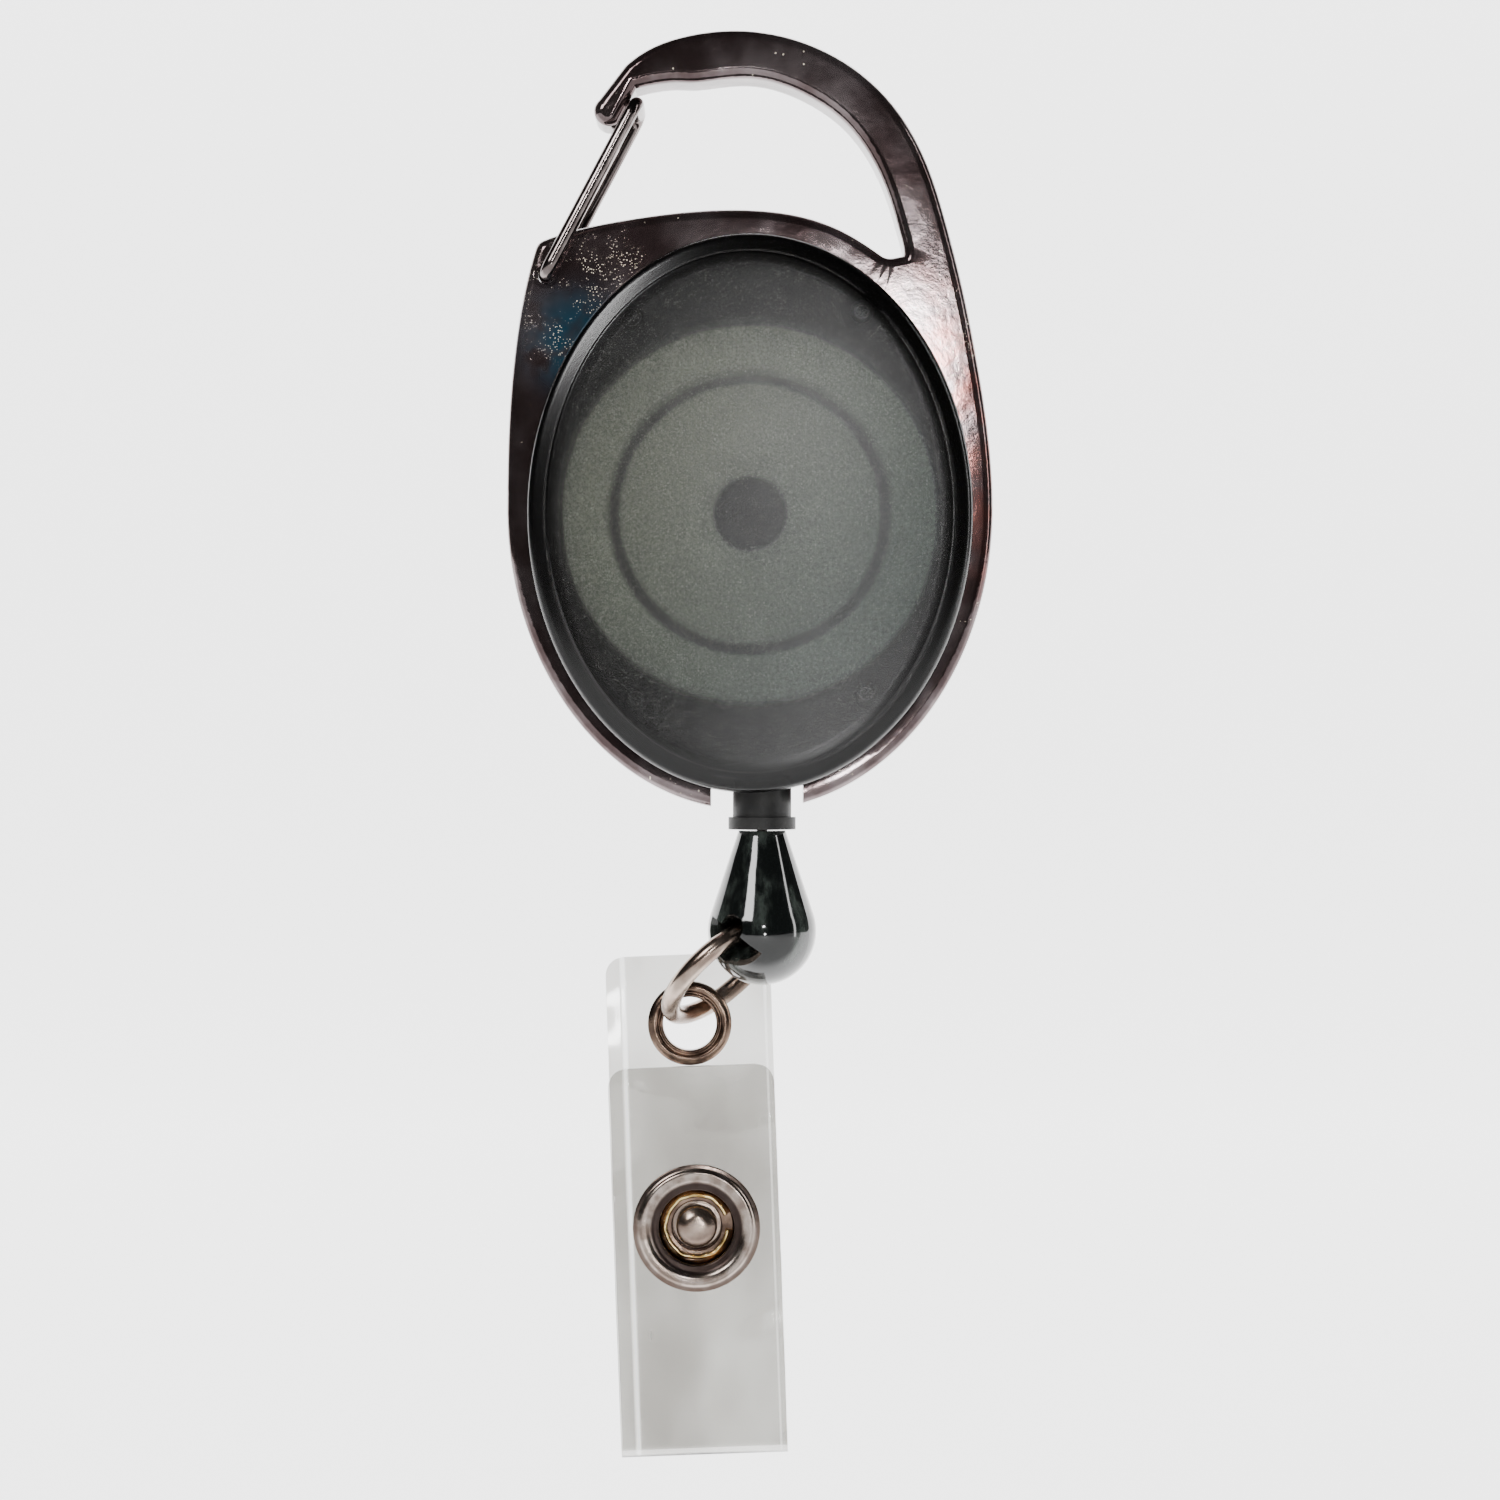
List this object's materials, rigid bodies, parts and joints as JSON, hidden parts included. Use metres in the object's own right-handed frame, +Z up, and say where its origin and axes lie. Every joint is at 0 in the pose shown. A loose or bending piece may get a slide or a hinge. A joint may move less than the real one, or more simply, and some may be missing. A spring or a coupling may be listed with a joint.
{
  "type": "retractable badge reel",
  "caption": "Oval retractable badge reel in a carabiner frame with a wire gate, a teardrop bead, a jump ring and a clear snap strap.",
  "frame": {"origin": "inner crown of the carabiner hook, where a belt loop bears", "axes": "+Z up as the reel hangs, +Y towards the flat back, the frosted cover faces -Y"},
  "size_m": [0.038, 0.0128, 0.1127],
  "materials": {
    "smoked_chrome": "smoked chrome on a zinc casting",
    "spring_wire": "bright spring steel",
    "frosted_smoke": "frosted smoky translucent plastic",
    "dark_plastic": "dark grey moulded plastic",
    "spool_plastic": "grey-green moulded plastic",
    "black_cord": "braided nylon cord",
    "smoke_gloss": "glossy smoke, nearly black",
    "nickel": "nickel plated",
    "brass_spring": "bright brass",
    "clear_vinyl": "clear flexible vinyl"
  },
  "bodies": {
    "reel_body": {"carabiner_frame": "smoked_chrome", "front_cover": "frosted_smoke", "back_cover": "dark_plastic", "cord_nozzle": "dark_plastic", "arbor_post": "dark_plastic", "cord_lead": "black_cord"},
    "gate": {"gate_wire": "spring_wire"},
    "spool": {"spool": "spool_plastic", "spring_cover": "spool_plastic", "cord_winding": "black_cord", "mainspring": "spring_wire"},
    "cord_end": {"cord_knot": "black_cord"},
    "bead": {"bead_front_half": "smoke_gloss", "bead_back_half": "smoke_gloss"},
    "ring": {"jump_ring": "nickel"},
    "strap": {"strap_back": "clear_vinyl", "strap_fold": "clear_vinyl", "eyelet_barrel": "nickel", "eyelet_washer": "nickel", "snap_stud": "nickel", "stud_post": "nickel"},
    "flap": {"strap_flap": "clear_vinyl", "snap_cap": "nickel", "snap_socket": "nickel", "socket_spring": "brass_spring"}
  },
  "joints": [
    {"name": "gate_swing", "type": "hinge", "parent": "reel_body", "child": "gate", "pos_m": [-0.01554, 0, -0.01556], "axis": [0, 1, 0], "range_deg": [0, 38], "stiffness_Nm_per_rad": 0.04, "springref_deg": -17.19},
    {"name": "cord_pull", "type": "slide", "parent": "reel_body", "child": "cord_end", "axis": [0, 0, -1], "range_m": [0, 0.76], "stiffness_N_per_m": 0.8, "springref_m": -0.75, "deforming": ["cord_lead"]},
    {"name": "spool_spin", "type": "hinge", "parent": "reel_body", "child": "spool", "pos_m": [0.0004, 0, -0.0342], "axis": [0, 1, 0], "continuous": true, "deforming": ["mainspring"]},
    {"name": "bead_swivel", "type": "hinge", "parent": "cord_end", "child": "bead", "pos_m": [0.00135, 0, -0.0668], "axis": [0, 0, 1], "continuous": true},
    {"name": "ring_swing", "type": "hinge", "parent": "bead", "child": "ring", "pos_m": [0.00109, 0.00015, -0.0664], "axis": [0.515, 0.8572, 0], "range_deg": [-44, 14]},
    {"name": "strap_swing", "type": "hinge", "parent": "ring", "child": "strap", "pos_m": [-0.00442, 0.0045, -0.07446], "axis": [0, 1, 0], "range_deg": [-40, 60]},
    {"name": "flap_open", "type": "hinge", "parent": "strap", "child": "flap", "pos_m": [-0.00322, 0.00162, -0.10717], "axis": [0.9993, 0, 0.0366], "range_deg": [0, 150]}
  ],
  "couplings": [
    {"joint": "spool_spin", "follows": "cord_pull", "rad_per_m": 79.4}
  ]
}
